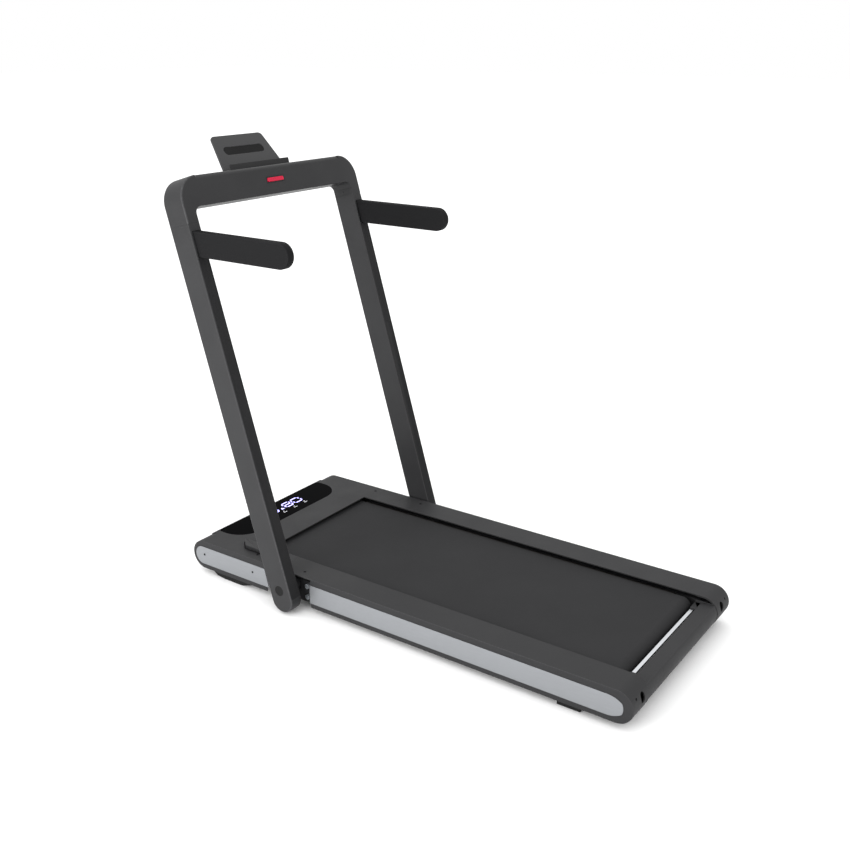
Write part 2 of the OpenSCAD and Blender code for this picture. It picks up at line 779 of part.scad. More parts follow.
// Ledge for the tablet, with two lugs that carry the plate's hinge rod
module holder_tray() color(soft_black) in_frame() difference() {
    lug_r = 4.3;
    union() {
        block([-ledge_w / 2, ledge_y, bar_top], [ledge_w / 2, hinge_d + lug_r, bar_top + 3.5]);
        block([-ledge_w / 2, ledge_y, bar_top], [ledge_w / 2, ledge_y + 4, bar_top + 19]);
        for (x = [-80, 80]) {
            rod_x(lug_r, x - 8, x + 8, hinge_d, hinge_z);
            block([x - 8, hinge_d - lug_r, bar_top], [x + 8, hinge_d + lug_r, hinge_z]);
        }
    }
    rod_x(hinge_r + fit, -100, 100, hinge_d, hinge_z);
}

// Plate outline in (X, up from the hinge): wider at the foot, with round corners
module plate_outline() {
    top_r = 14;
    foot_r = 3;
    foot_z = 2;
    slope = atan(plate_flare / 2 / plate_l);
    half_at_top = plate_w / 2 - top_r * (1 - sin(slope)) / cos(slope);
    half_at_foot = (plate_w + plate_flare) / 2 - foot_r * (1 + sin(slope)) / cos(slope);
    hull() for (s = [-1, 1]) {
        translate([s * half_at_top, plate_l - top_r]) circle(top_r);
        translate([s * half_at_foot, foot_z + foot_r]) circle(foot_r);
    }
}

// Tilting plate with its hinge knuckles and a recessed pad
module holder_plate() color(charcoal) in_frame() translate([0, hinge_d, hinge_z])
    rotate([-plate_tilt, 0, 0]) {
        difference() {
            translate([0, plate_y + plate_t, 0]) rotate([90, 0, 0])
                linear_extrude(plate_t) plate_outline();
            translate([-78, plate_y + 1.2, plate_l * 0.55 - 13]) rotate([90, 0, 0])
                linear_extrude(3) round_rect(156, 26, 12.9);
        }
        for (s = [-1, 1]) block([s * 55 - 12, -2.3, 0], [s * 55 + 12, plate_y + 1, 6]);
        rod_x(hinge_r, -90, 90, 0, 0);
    }

// ---- assembly ---------------------------------------------------------------------------------

side_frames();
cross_members();
hood();
rail_left();
rail_right();
rear_cover();
guard_bar();
trim_front_left();
trim_front_right();
trim_rear_left();
trim_rear_right();
cover_screws();
display_lens();
display_board();
underpan();
running_board();
walking_belt();
deck_cushions();
motor_case();
motor_rotor();
motor_mount();
drive_belt();
control_board();
heatsink();
power_inlet();
rocker_switch();
breaker_body();
breaker_button();
front_roller();
front_bearings();
front_axle();
rear_roller();
rear_bearings();
rear_axle();
tension_bolts();
pivot_bracket_left();
pivot_bracket_right();
pivot_pins();
pivot_bushes();
bracket_bolts();
release_pedal();
pedal_pin();
front_foot_left();
front_foot_right();
wheel_left();
wheel_right();
wheel_axles();
rear_feet();
upright_left();
upright_right();
crossbar();
pivot_caps();
corner_plates();
armrest_left();
armrest_right();
arm_pins();
safety_key();
key_socket();
holder_tray();
holder_plate();
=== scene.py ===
"""Looks of a folding walking treadmill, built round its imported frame."""
import json
import math

import bmesh
import bpy
from mathutils import Matrix, Vector


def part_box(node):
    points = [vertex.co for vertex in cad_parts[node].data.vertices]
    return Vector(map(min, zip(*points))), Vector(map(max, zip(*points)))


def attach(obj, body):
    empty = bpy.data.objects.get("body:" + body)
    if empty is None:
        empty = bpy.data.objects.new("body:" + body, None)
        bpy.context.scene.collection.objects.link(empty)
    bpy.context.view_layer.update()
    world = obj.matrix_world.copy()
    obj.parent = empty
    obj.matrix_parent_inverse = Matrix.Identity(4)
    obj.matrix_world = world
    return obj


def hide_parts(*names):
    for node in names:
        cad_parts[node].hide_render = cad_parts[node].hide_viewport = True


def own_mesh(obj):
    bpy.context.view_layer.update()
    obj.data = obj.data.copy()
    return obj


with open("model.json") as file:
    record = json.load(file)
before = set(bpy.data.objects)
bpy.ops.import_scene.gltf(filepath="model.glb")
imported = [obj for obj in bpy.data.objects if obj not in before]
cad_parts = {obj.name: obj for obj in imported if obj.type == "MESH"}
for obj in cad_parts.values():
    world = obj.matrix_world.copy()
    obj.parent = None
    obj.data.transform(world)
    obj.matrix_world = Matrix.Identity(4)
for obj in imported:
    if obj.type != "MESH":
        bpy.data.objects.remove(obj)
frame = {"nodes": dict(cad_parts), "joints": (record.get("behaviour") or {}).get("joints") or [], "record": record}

bl_info = {
    "name": "Folding treadmill",
    "version": (1, 0, 0),
    "blender": (4, 5, 0),
    "location": "3D View > Sidebar > Treadmill",
    "description": "Covers, belt, handle frame and finishes of a folding walking treadmill",
    "category": "Add Mesh",
}

MM = 0.001
SIDES = {"left": -1, "right": 1}
RECORD = frame["record"]
NODE_BODY = {node: body for body, nodes in RECORD["behaviour"]["bodies"].items() for node in nodes}
NODE_SLOT = {part["node"]: part["material_slot"] for part in RECORD["subparts"]}
JOINTS = {joint["name"]: joint for joint in frame["joints"]}

# The handle frame leans forward about its pivot; FRAME_TURN carries upright axes to the part's
PIVOT = Vector(JOINTS["frame_fold"]["pos_m"])
LEAN = math.atan2(JOINTS["key_pull"]["axis"][2], -JOINTS["key_pull"]["axis"][1])
FRAME_TURN = Matrix.Translation(PIVOT) @ Matrix.Rotation(-LEAN, 4, "X")
TO_UPRIGHT = FRAME_TURN.inverted()

# Edge radii that every maker leaves, from thin sheet to thick mouldings
SHEET_EDGE = 0.3 * MM
CUT_EDGE = 0.4 * MM
FINE_EDGE = 0.5 * MM
BLUNT_EDGE = 0.8 * MM

# Slack for telling which face or edge a point lies on
NEAR = 0.5 * MM


def linear(hex_code):
    """Linear RGBA of an sRGB hex colour."""
    parts = [int(hex_code[i:i + 2], 16) / 255 for i in (0, 2, 4)]
    return tuple(p / 12.92 if p <= 0.04045 else ((p + 0.055) / 1.055) ** 2.4
                 for p in parts) + (1.0,)


# ---- settings -----------------------------------------------------------------

def colour_property(label, text, hex_code):
    """A colour that the user may change, given as an sRGB hex value."""
    return bpy.props.FloatVectorProperty(name=label, description=text, subtype="COLOR",
                                         size=4, min=0.0, max=1.0, default=linear(hex_code))


def length_property(label, text, millimetres, low, high):
    """A length that the user may change, given in millimetres."""
    return bpy.props.FloatProperty(name=label, description=text, unit="LENGTH",
                                   default=millimetres * MM, min=low * MM, max=high * MM)


class TreadmillSizes(bpy.types.PropertyGroup):
    """Sizes of the details that the frame leaves open."""
    cover_edge: length_property("Cover edge", "Radius of the deck covers' edges", 1.6, 0.4, 2.5)
    tube_edge: length_property("Tube edge", "Radius of the handle frame's long edges", 4.0, 1, 6)
    arm_edge: length_property("Arm edge", "Radius of the armrests' edges", 3.5, 1, 8)
    inner_edge: length_property("Inner edge", "Radius of the edges inside the frame", 1.5, 0.5, 3)
    belt_pitch: length_property("Belt pitch", "Spacing of the belt's diamond emboss", 3.2, 1, 8)
    digit_height: length_property("Digit height", "Height of the display digits", 27, 8, 34)


class TreadmillColours(bpy.types.PropertyGroup):
    """Colours of the finishes."""
    covers: colour_property("Covers", "Moulded deck covers", "2E2E2F")
    frame_coat: colour_property("Frame coat", "Powder coat of the handle frame", "313132")
    arms: colour_property("Arms", "Soft skin of the armrests", "19191A")
    belt: colour_property("Belt", "Walking belt", "2C2C2D")
    trim: colour_property("Trim", "Anodised side trims", "95979A")
    key: colour_property("Key", "Safety key", "C4123A")
    digits: colour_property("Digits", "Glow of the display digits", "B9B4FF")


def sizes():
    """The user's sizes."""
    return bpy.context.scene.treadmill_sizes


def colours():
    """The user's colours."""
    return bpy.context.scene.treadmill_colours


# ---- mesh tools ---------------------------------------------------------------

def across_x(u, v, w):
    """Outline in (Y, Z), extruded along X."""
    return Vector((w, u, v))


def across_y(u, v, w):
    """Outline in (X, Z), extruded along Y."""
    return Vector((u, w, v))


def upward(u, v, w):
    """Outline in (X, Y), extruded along Z."""
    return Vector((u, v, w))


def arc(u, v, radius, start, stop, steps):
    """Points along an arc from start to stop degrees."""
    angles = [math.radians(start + (stop - start) * i / steps) for i in range(steps + 1)]
    return [(u + radius * math.cos(a), v + radius * math.sin(a)) for a in angles]


def stadium(u0, u1, v, radius, steps=24):
    """Outline of a slot along u with full-round ends."""
    return arc(u0 + radius, v, radius, 90, 270, steps) + arc(u1 - radius, v, radius, -90, 90, steps)


def rounded_rect(u0, v0, u1, v1, radius, steps=6):
    """Outline of a rectangle with round corners."""
    corners = [(u1 - radius, v1 - radius, 0), (u0 + radius, v1 - radius, 90),
               (u0 + radius, v0 + radius, 180), (u1 - radius, v0 + radius, 270)]
    return [p for u, v, a in corners for p in arc(u, v, radius, a, a + 90, steps)]


def prism(bm, outline, place, low, high):
    """Adds a closed outline extruded from low to high, and returns its vertices."""
    base = [bm.verts.new(place(u, v, low)) for u, v in outline]
    made = bmesh.ops.extrude_face_region(bm, geom=[bm.faces.new(base)])
    top = [item for item in made["geom"] if isinstance(item, bmesh.types.BMVert)]
    bmesh.ops.translate(bm, verts=top, vec=place(0, 0, high - low))
    return base + top


def lathe(bm, profile, centre, axis, steps=40):
    """Spins a profile of (radius, along) points about an axis through centre."""
    axis = Vector(axis)
    out = axis.orthogonal().normalized()
    verts = [bm.verts.new(centre + out * r + axis * a) for r, a in profile]
    edges = [bm.edges.new(pair) for pair in zip(verts, verts[1:])]
    bmesh.ops.spin(bm, geom=verts + edges, cent=centre, axis=axis, angle=math.tau,
                   steps=steps, use_merge=True)


def cad_copy(node, merge=0.02 * MM, flat=0.8):
    """A merged copy of a CAD node. Faces that meet within flat degrees are joined up."""
    bm = bmesh.new()
    bm.from_mesh(frame["nodes"][node].data)
    bmesh.ops.remove_doubles(bm, verts=bm.verts, dist=merge)
    bmesh.ops.dissolve_limit(bm, angle_limit=math.radians(flat), verts=bm.verts, edges=bm.edges)
    return bm


def round_edges(bm, radius, segments=3, angle=35, where=None, highlight_strength=1.0):
    """Rounds edges sharper than angle degrees and marks how much painted highlight lightens the new faces."""
    if bm.verts.layers.float.get("edge_highlight") is None:
        bm.verts.layers.float.new("edge_highlight")
    sharp = [e for e in bm.edges if len(e.link_faces) == 2
             and e.calc_face_angle() > math.radians(angle)
             and (where is None or where((e.verts[0].co + e.verts[1].co) / 2))]
    made = bmesh.ops.bevel(bm, geom=sharp, offset=radius, offset_type="OFFSET",
                           segments=segments, profile=0.5, affect="EDGES",
                           clamp_overlap=False, material=-1)
    edge_highlight = bm.verts.layers.float["edge_highlight"]
    rounded = set(made["faces"])
    # Painted highlight: vertices lying wholly on the rounded faces carry how much their colour is lightened
    for vert in made["verts"]:
        if all(face in rounded for face in vert.link_faces):
            vert[edge_highlight] = highlight_strength


def piece(bm, name, material, node, stands_for=(), smooth=35, merge=0.002 * MM,
          keep_normals=False):
    """Turns a bmesh into a named piece that rides with a node's body."""
    if not keep_normals:
        bmesh.ops.remove_doubles(bm, verts=bm.verts, dist=merge)
        bmesh.ops.recalc_face_normals(bm, faces=bm.faces)
    mesh = bpy.data.meshes.new(name)
    bm.to_mesh(mesh)
    bm.free()
    mesh.shade_smooth()
    mesh.set_sharp_from_angle(angle=math.radians(smooth))
    mesh.materials.append(material)
    made = bpy.data.objects.new(name, mesh)
    bpy.context.scene.collection.objects.link(made)
    weighted = made.modifiers.new("flat_faces_stay_flat", "WEIGHTED_NORMAL")
    weighted.keep_sharp = True
    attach(made, NODE_BODY[node])
    if stands_for:
        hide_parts(*stands_for)
    return made


def softened(node, name, material, radius, segments=3, where=None):
    """A piece made from a CAD node, with rounded edges."""
    bm = cad_copy(node)
    round_edges(bm, radius, segments, where=where)
    return piece(bm, name, material, node, [node])


# ---- material tools -------------------------------------------------------------

# Nearly all of a noise's values lie between these
LOW_NOISE = 0.3
HIGH_NOISE = 0.7


def add(tree, kind, inputs=None, **settings):
    """Adds a node with its settings, input values and links."""
    made = tree.nodes.new(kind)
    for name, value in settings.items():
        setattr(made, name, value)
    for name, value in (inputs or {}).items():
        if isinstance(value, bpy.types.NodeSocket):
            tree.links.new(value, made.inputs[name])
        else:
            made.inputs[name].default_value = value
    return made


def ramp(tree, factor, stops):
    """A colour ramp over a factor, with (position, colour) stops."""
    made = add(tree, "ShaderNodeValToRGB", {"Fac": factor})
    elements = made.color_ramp.elements
    while len(elements) < len(stops):
        elements.new(0.5)
    for element, (position, colour) in zip(elements, stops):
        element.position = position
        element.color = colour
    return made.outputs["Color"]


def shade(colour, factor):
    """A colour made lighter or darker."""
    return tuple(min(1.0, c * factor) for c in colour[:3]) + (1.0,)


def start(name, **values):
    """A new material with its shader's plain values set, its tree and its coordinates."""
    material = bpy.data.materials.new(name)
    material.use_nodes = True
    tree = material.node_tree
    shader = tree.nodes["Principled BSDF"]
    for label, value in values.items():
        shader.inputs[label.replace("_", " ")].default_value = value
    coords = add(tree, "ShaderNodeTexCoord").outputs["Object"]
    return material, tree, shader, coords


def noise(tree, coords, size, detail=3.0, stretch=(1, 1, 1)):
    """Noise whose cells measure size metres, longer where stretch is below 1."""
    mapped = add(tree, "ShaderNodeMapping", {"Vector": coords, "Scale": stretch})
    return add(tree, "ShaderNodeTexNoise", {"Vector": mapped.outputs["Vector"],
               "Scale": 1 / size, "Detail": detail}).outputs["Fac"]


def mottled(name, colour, grain, depth, patch=120 * MM, rough=(0.45, 0.6), edge_highlight=1.5,
            spread=0.08, gleam=0.25, chip=6 * MM, **values):
    """A solid finish: soft patches of tone, a fine grain and a painted highlight that lightens the rounded edges,
    broken up in chips. The gleam is the share of mirror reflection, 0.5 for a clean smooth surface."""
    material, tree, shader, coords = start(name, Specular_IOR_Level=gleam, **values)
    cloud = noise(tree, coords, patch)
    tone = ramp(tree, cloud, [(LOW_NOISE, shade(colour, 1 - spread)),
                              (HIGH_NOISE, shade(colour, 1 + spread))])
    # Painted highlight: the colour of rounded edges is lightened, broken up by chip-sized noise
    edge = add(tree, "ShaderNodeAttribute", attribute_name="edge_highlight").outputs["Fac"]
    speck = noise(tree, coords, chip)
    highlight_share = add(tree, "ShaderNodeMath", {0: edge, 1: speck}, operation="MULTIPLY")
    mix = add(tree, "ShaderNodeMixRGB", {"Fac": highlight_share.outputs[0], "Color1": tone,
              "Color2": shade(colour, edge_highlight)})
    tree.links.new(mix.outputs["Color"], shader.inputs["Base Color"])
    spreading = add(tree, "ShaderNodeMapRange", {"Value": cloud, "From Min": LOW_NOISE,
                    "From Max": HIGH_NOISE, "To Min": rough[0], "To Max": rough[1]})
    tree.links.new(spreading.outputs["Result"], shader.inputs["Roughness"])
    bump = add(tree, "ShaderNodeBump", {"Height": noise(tree, coords, grain, 2.0),
               "Distance": depth, "Strength": 0.6})
    tree.links.new(bump.outputs["Normal"], shader.inputs["Normal"])
    return material


# ---- finishes -------------------------------------------------------------------

def spark_eroded_abs():
    """Moulded ABS with a spark-eroded grain: matt, with a dull sheen. The real grain is 0.3 mm,
    drawn at 1.1 mm so that it shows."""
    return mottled("spark_eroded_abs", colours().covers, grain=1.1 * MM, depth=0.10 * MM,
                   gleam=0.13, IOR=1.52, edge_highlight=2.0)


def powder_coat():
    """Extruded aluminium under charcoal powder coat: a faint orange peel and a soft sheen."""
    return mottled("powder_coat", colours().frame_coat, grain=1.4 * MM, depth=0.06 * MM,
                   rough=(0.38, 0.48), gleam=0.13, IOR=1.5, edge_highlight=2.6)


def shaded_rear_coat():
    """Painted shade: a darker copy of the frame coat for the uprights' rear faces below the armrests and for the
    lips over the armrests' slots.
    """
    return mottled("rear_coat_painted_shade", shade(colours().frame_coat, 0.7), grain=1.2 * MM,
                   depth=0.05 * MM, rough=(0.6, 0.7), gleam=0.06, edge_highlight=1.3)


def arm_skin():
    """Soft-touch polyurethane skin: very matt, with a leathery pebble."""
    return mottled("arm_skin", colours().arms, grain=1.6 * MM, depth=0.14 * MM,
                   rough=(0.6, 0.72), gleam=0.08, IOR=1.45, edge_highlight=1.7)


def black_nylon():
    """Moulded black nylon: dark, half matt."""
    return mottled("black_nylon", linear("232324"), grain=1.0 * MM, depth=0.06 * MM,
                   rough=(0.42, 0.55))


def holder_abs():
    """Thin moulded ABS plate in the covers' charcoal, a little smoother."""
    return mottled("holder_abs", linear("363637"), grain=0.9 * MM, depth=0.05 * MM,
                   rough=(0.42, 0.52), edge_highlight=2.0)


def black_rubber():
    """Moulded black rubber: matt, dusty and slightly rough."""
    return mottled("black_rubber", linear("1C1C1C"), grain=1.2 * MM, depth=0.15 * MM,
                   rough=(0.75, 0.9), gleam=0.15, edge_highlight=1.8)


def black_steel():
    """Welded steel tube under thin black paint."""
    return mottled("black_steel_paint", linear("1E1E1F"), grain=2.0 * MM, depth=0.05 * MM,
                   rough=(0.35, 0.5))


def black_oxide():
    """Blackened steel screws: dark with a metal gleam."""
    return mottled("black_oxide_steel", linear("1C1C1E"), grain=0.5 * MM, depth=0.02 * MM,
                   rough=(0.3, 0.45), Metallic=1.0, edge_highlight=2.5)


def zinc_steel():
    """Zinc-plated steel sheet: bright, with a faint blue spangle."""
    return mottled("zinc_plated_steel", linear("B9BEC4"), grain=2.5 * MM, depth=0.02 * MM,
                   patch=20 * MM, rough=(0.28, 0.42), Metallic=1.0, edge_highlight=1.2)


def red_abs():
    """Injection-moulded red ABS with a polished tool finish."""
    return mottled("red_abs", colours().key, grain=0.8 * MM, depth=0.02 * MM,
                   rough=(0.25, 0.35), edge_highlight=1.3)


def white_nylon():
    """Moulded white nylon button."""
    return mottled("white_nylon", linear("E2E2DE"), grain=0.8 * MM, depth=0.03 * MM,
                   rough=(0.4, 0.5), edge_highlight=1.05)


def brushed(name, colour, along, rough, apart=0.5 * MM, run=0.012):
    """A brushed or turned metal: fine scratches along one axis. Real scratches are 0.05 mm
    apart, drawn at 0.5 mm."""
    material, tree, shader, coords = start(name, Metallic=1.0)
    stretch = tuple(run if axis == along else 1.0 for axis in "XYZ")
    lines = noise(tree, coords, apart, 4.0, stretch)
    tone = ramp(tree, lines, [(0.25, shade(colour, 0.90)), (0.75, shade(colour, 1.06))])
    tree.links.new(tone, shader.inputs["Base Color"])
    spreading = add(tree, "ShaderNodeMapRange", {"Value": lines, "To Min": rough - 0.06,
                    "To Max": rough + 0.08})
    tree.links.new(spreading.outputs["Result"], shader.inputs["Roughness"])
    bump = add(tree, "ShaderNodeBump", {"Height": lines, "Distance": 0.02 * MM, "Strength": 0.5})
    tree.links.new(bump.outputs["Normal"], shader.inputs["Normal"])
    return material


def satin_trim():
    """Bead-blasted, anodised aluminium strip: pale and satin, with a draw line along it."""
    return brushed("satin_anodised_trim", colours().trim, "Y", 0.48)


def turned_steel():
    """Ground and turned steel shafts and tubes."""
    return brushed("turned_steel", linear("A9ABAE"), "X", 0.28)


def diamond_belt():
    """PVC walking belt with an embossed diamond: matt, slightly chalky on the crests."""
    material, tree, shader, _ = start("diamond_pvc_belt", IOR=1.5, Roughness=0.78,
                                      Specular_IOR_Level=0.12)
    belt_map = add(tree, "ShaderNodeUVMap", uv_map="belt").outputs["UV"]
    pitch = sizes().belt_pitch
    crests = []
    for turn in (45, -45):
        turned = add(tree, "ShaderNodeMapping", {"Vector": belt_map,
                     "Rotation": (0, 0, math.radians(turn))})
        crests.append(add(tree, "ShaderNodeTexWave", {"Vector": turned.outputs["Vector"],
                      "Scale": math.pi / 10 / pitch}, wave_profile="SIN").outputs["Fac"])
    diamond = add(tree, "ShaderNodeMath", {0: crests[0], 1: crests[1]}, operation="MULTIPLY")
    cloud = noise(tree, belt_map, 220 * MM)
    chalk = noise(tree, belt_map, 1.5 * MM)
    base = colours().belt
    tone = ramp(tree, cloud, [(LOW_NOISE, shade(base, 0.93)), (HIGH_NOISE, shade(base, 1.07))])
    dust = add(tree, "ShaderNodeMath", {0: diamond.outputs[0], 1: chalk}, operation="MULTIPLY")
    mix = add(tree, "ShaderNodeMixRGB", {"Fac": dust.outputs[0], "Color1": tone,
              "Color2": shade(base, 1.25)})
    tree.links.new(mix.outputs["Color"], shader.inputs["Base Color"])
    bump = add(tree, "ShaderNodeBump", {"Height": diamond.outputs[0], "Distance": 0.25 * MM,
               "Strength": 0.5})
    tree.links.new(bump.outputs["Normal"], shader.inputs["Normal"])
    return material


def gloss_acrylic():
    """Black acrylic window with an anti-reflection coat: smooth, with a trace of dust."""
    material, tree, shader, coords = start("gloss_acrylic", IOR=1.04)
    dust = noise(tree, coords, 2.5 * MM, 6.0)
    tone = ramp(tree, dust, [(0.60, linear("030304")), (0.85, linear("0A0A0B"))])
    tree.links.new(tone, shader.inputs["Base Color"])
    spreading = add(tree, "ShaderNodeMapRange", {"Value": noise(tree, coords, 50 * MM),
                    "To Min": 0.05, "To Max": 0.14})
    tree.links.new(spreading.outputs["Result"], shader.inputs["Roughness"])
    return material


def lit_print(name, colour, strength):
    """Backlit print behind the window: even glow with a slight flicker of tone."""
    material, tree, shader, coords = start(name, Roughness=0.5)
    flicker = noise(tree, coords, 4 * MM)
    tone = ramp(tree, flicker, [(LOW_NOISE, shade(colour, 0.8)), (HIGH_NOISE, colour)])
    tree.links.new(tone, shader.inputs["Base Color"])
    tree.links.new(tone, shader.inputs["Emission Color"])
    shader.inputs["Emission Strength"].default_value = strength
    return material


def phenolic_mdf():
    """Running board: MDF fibre under a black phenolic film, waxed."""
    material, tree, shader, coords = start("phenolic_film_mdf", Roughness=0.5)
    fibre = noise(tree, coords, 1.5 * MM, 5.0, (1, 0.25, 1))
    tone = ramp(tree, fibre, [(LOW_NOISE, linear("141210")), (HIGH_NOISE, linear("1E1A17"))])
    tree.links.new(tone, shader.inputs["Base Color"])
    bump = add(tree, "ShaderNodeBump", {"Height": fibre, "Distance": 0.05 * MM})
    tree.links.new(bump.outputs["Normal"], shader.inputs["Normal"])
    return material


def circuit_board():
    """Green solder mask with copper tracks under it."""
    material, tree, shader, coords = start("solder_mask", Roughness=0.3)
    track = add(tree, "ShaderNodeTexBrick", {"Vector": coords, "Scale": 1 / (9 * MM),
                "Color1": linear("1C5A34"), "Color2": linear("20663B"),
                "Mortar": linear("2F8A52"), "Mortar Size": 0.06})
    tree.links.new(track.outputs["Color"], shader.inputs["Base Color"])
    bump = add(tree, "ShaderNodeBump", {"Height": track.outputs["Fac"], "Distance": 0.05 * MM})
    tree.links.new(bump.outputs["Normal"], shader.inputs["Normal"])
    return material


FINISH_MAKERS = {
    "cover_plastic": spark_eroded_abs,
    "frame_coat": powder_coat,
    "steel_black": black_steel,
    "trim_aluminium": satin_trim,
    "display_gloss": gloss_acrylic,
    "circuit_board": circuit_board,
    "black_plastic": black_nylon,
    "plate_plastic": holder_abs,
    "arm_foam": arm_skin,
    "screw_black": black_oxide,
    "board_wood": phenolic_mdf,
    "belt_rubber": diamond_belt,
    "rubber_black": black_rubber,
    "motor_coat": black_steel,
    "zinc_steel": zinc_steel,
    "bright_steel": turned_steel,
    "signal_red": red_abs,
    "button_white": white_nylon,
    "slot_lip": shaded_rear_coat,
}
FINISHES = {}


def finish(name):
    """The named finish, made once."""
    if name not in FINISHES:
        FINISHES[name] = FINISH_MAKERS[name]()
    return FINISHES[name]


def finish_of(node):
    """The finish of a node's slot."""
    return finish(NODE_SLOT[node])


# ---- operators ------------------------------------------------------------------

class BuildStep:
    """What all the operators share."""
    bl_options = {"REGISTER", "UNDO"}


class TREADMILL_OT_stage(BuildStep, bpy.types.Operator):
    """White floor, soft light and the camera"""
    bl_idname = "treadmill.stage"
    bl_label = "Stage"

    # Places and sizes in metres, angles in degrees, lens and sensor in millimetres
    FLOOR_SIZE = 40
    SURROUNDINGS_STRENGTH = 1.0
    SKY_STRENGTH = 1.0
    SKY_SPREAD = 120
    WINDOW_PLACE = Vector((-3.4, 0.9, 1.1))
    WINDOW_AIM = Vector((0, 0, 0.6))
    WINDOW_SIZE = 1.6
    WINDOW_WATTS = 80
    CAMERA_PLACE = (-2.2036, -1.4752, 1.4670)
    CAMERA_DOWN = 20.016
    CAMERA_TURN = -55.063
    FOCAL_LENGTH = 45.08
    SENSOR_WIDTH = 36

    def execute(self, context):
        self.floor(context.scene)
        self.lights(context.scene)
        self.camera(context.scene)
        context.scene.view_settings.view_transform = "Standard"
        return {"FINISHED"}

    def floor(self, scene):
        """A plain matt white floor."""
        sheet = bmesh.new()
        bmesh.ops.create_grid(sheet, x_segments=1, y_segments=1, size=self.FLOOR_SIZE)
        mesh = bpy.data.meshes.new("floor")
        sheet.to_mesh(mesh)
        sheet.free()
        ground = bpy.data.objects.new("floor", mesh)
        scene.collection.objects.link(ground)
        paint, *_ = start("matt_floor_paint", Roughness=1.0, Specular_IOR_Level=0.0,
                          Base_Color=linear("FFFFFF"))
        mesh.materials.append(paint)

    def lights(self, scene):
        """White surroundings, a wide soft sky and a window on the left."""
        world = bpy.data.worlds.new("studio")
        world.use_nodes = True
        background = world.node_tree.nodes["Background"]
        background.inputs["Color"].default_value = linear("FFFFFF")
        background.inputs["Strength"].default_value = self.SURROUNDINGS_STRENGTH
        scene.world = world

        window = bpy.data.lights.new("left_window", "AREA")
        window.size = self.WINDOW_SIZE
        window.energy = self.WINDOW_WATTS
        lamp = bpy.data.objects.new("left_window", window)
        lamp.location = self.WINDOW_PLACE
        towards = self.WINDOW_AIM - self.WINDOW_PLACE
        lamp.rotation_euler = towards.to_track_quat("-Z", "Y").to_euler()
        scene.collection.objects.link(lamp)

        sky = bpy.data.lights.new("skylight", "SUN")
        sky.energy = self.SKY_STRENGTH
        sky.angle = math.radians(self.SKY_SPREAD)
        scene.collection.objects.link(bpy.data.objects.new("skylight", sky))

    def camera(self, scene):
        """The camera, above and behind the left rail, looking down at the deck."""
        lens = bpy.data.cameras.new("camera")
        lens.lens = self.FOCAL_LENGTH
        lens.sensor_width = self.SENSOR_WIDTH
        camera = bpy.data.objects.new("camera", lens)
        camera.location = self.CAMERA_PLACE
        camera.rotation_euler = (math.radians(90 - self.CAMERA_DOWN), 0,
                                 math.radians(self.CAMERA_TURN))
        scene.collection.objects.link(camera)
        scene.camera = camera


class TREADMILL_OT_covers(BuildStep, bpy.types.Operator):
    """Moulded rails, hood and rear cover of the deck"""
    bl_idname = "treadmill.covers"
    bl_label = "Deck covers"

    def execute(self, context):
        side_relief = 1.2 * MM
        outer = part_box("rail_right")[1].x - side_relief
        for node in ("rail_left", "rail_right", "hood"):
            bm = cad_copy(node)
            round_edges(bm, sizes().cover_edge, where=lambda p: abs(p.x) > outer)
            round_edges(bm, FINE_EDGE, 2, angle=50, where=lambda p: abs(p.x) <= outer)
            piece(bm, node + "_moulding", finish_of(node), node, [node])
        softened("rear_cover", "rear_cover_moulding", finish_of("rear_cover"), BLUNT_EDGE, 2)
        return {"FINISHED"}


class TREADMILL_OT_trims(BuildStep, bpy.types.Operator):
    """Anodised strips along the deck's sides and the bright bar at the rear"""
    bl_idname = "treadmill.trims"
    bl_label = "Trims"

    def execute(self, context):
        for node in ("trim_front_left", "trim_front_right", "trim_rear_left", "trim_rear_right"):
            softened(node, node + "_strip", finish_of(node), CUT_EDGE, 2)
        low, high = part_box("guard_bar")
        bar_corner = 1.2 * MM
        bm = bmesh.new()
        prism(bm, rounded_rect(low.y, low.z, high.y, high.z, bar_corner), across_x, low.x, high.x)
        round_edges(bm, CUT_EDGE, 2, angle=60)
        bar = brushed("polished_bar", linear("C9CBCE"), "X", 0.2)
        piece(bm, "rear_guard_bar", bar, "guard_bar", ["guard_bar"])
        return {"FINISHED"}


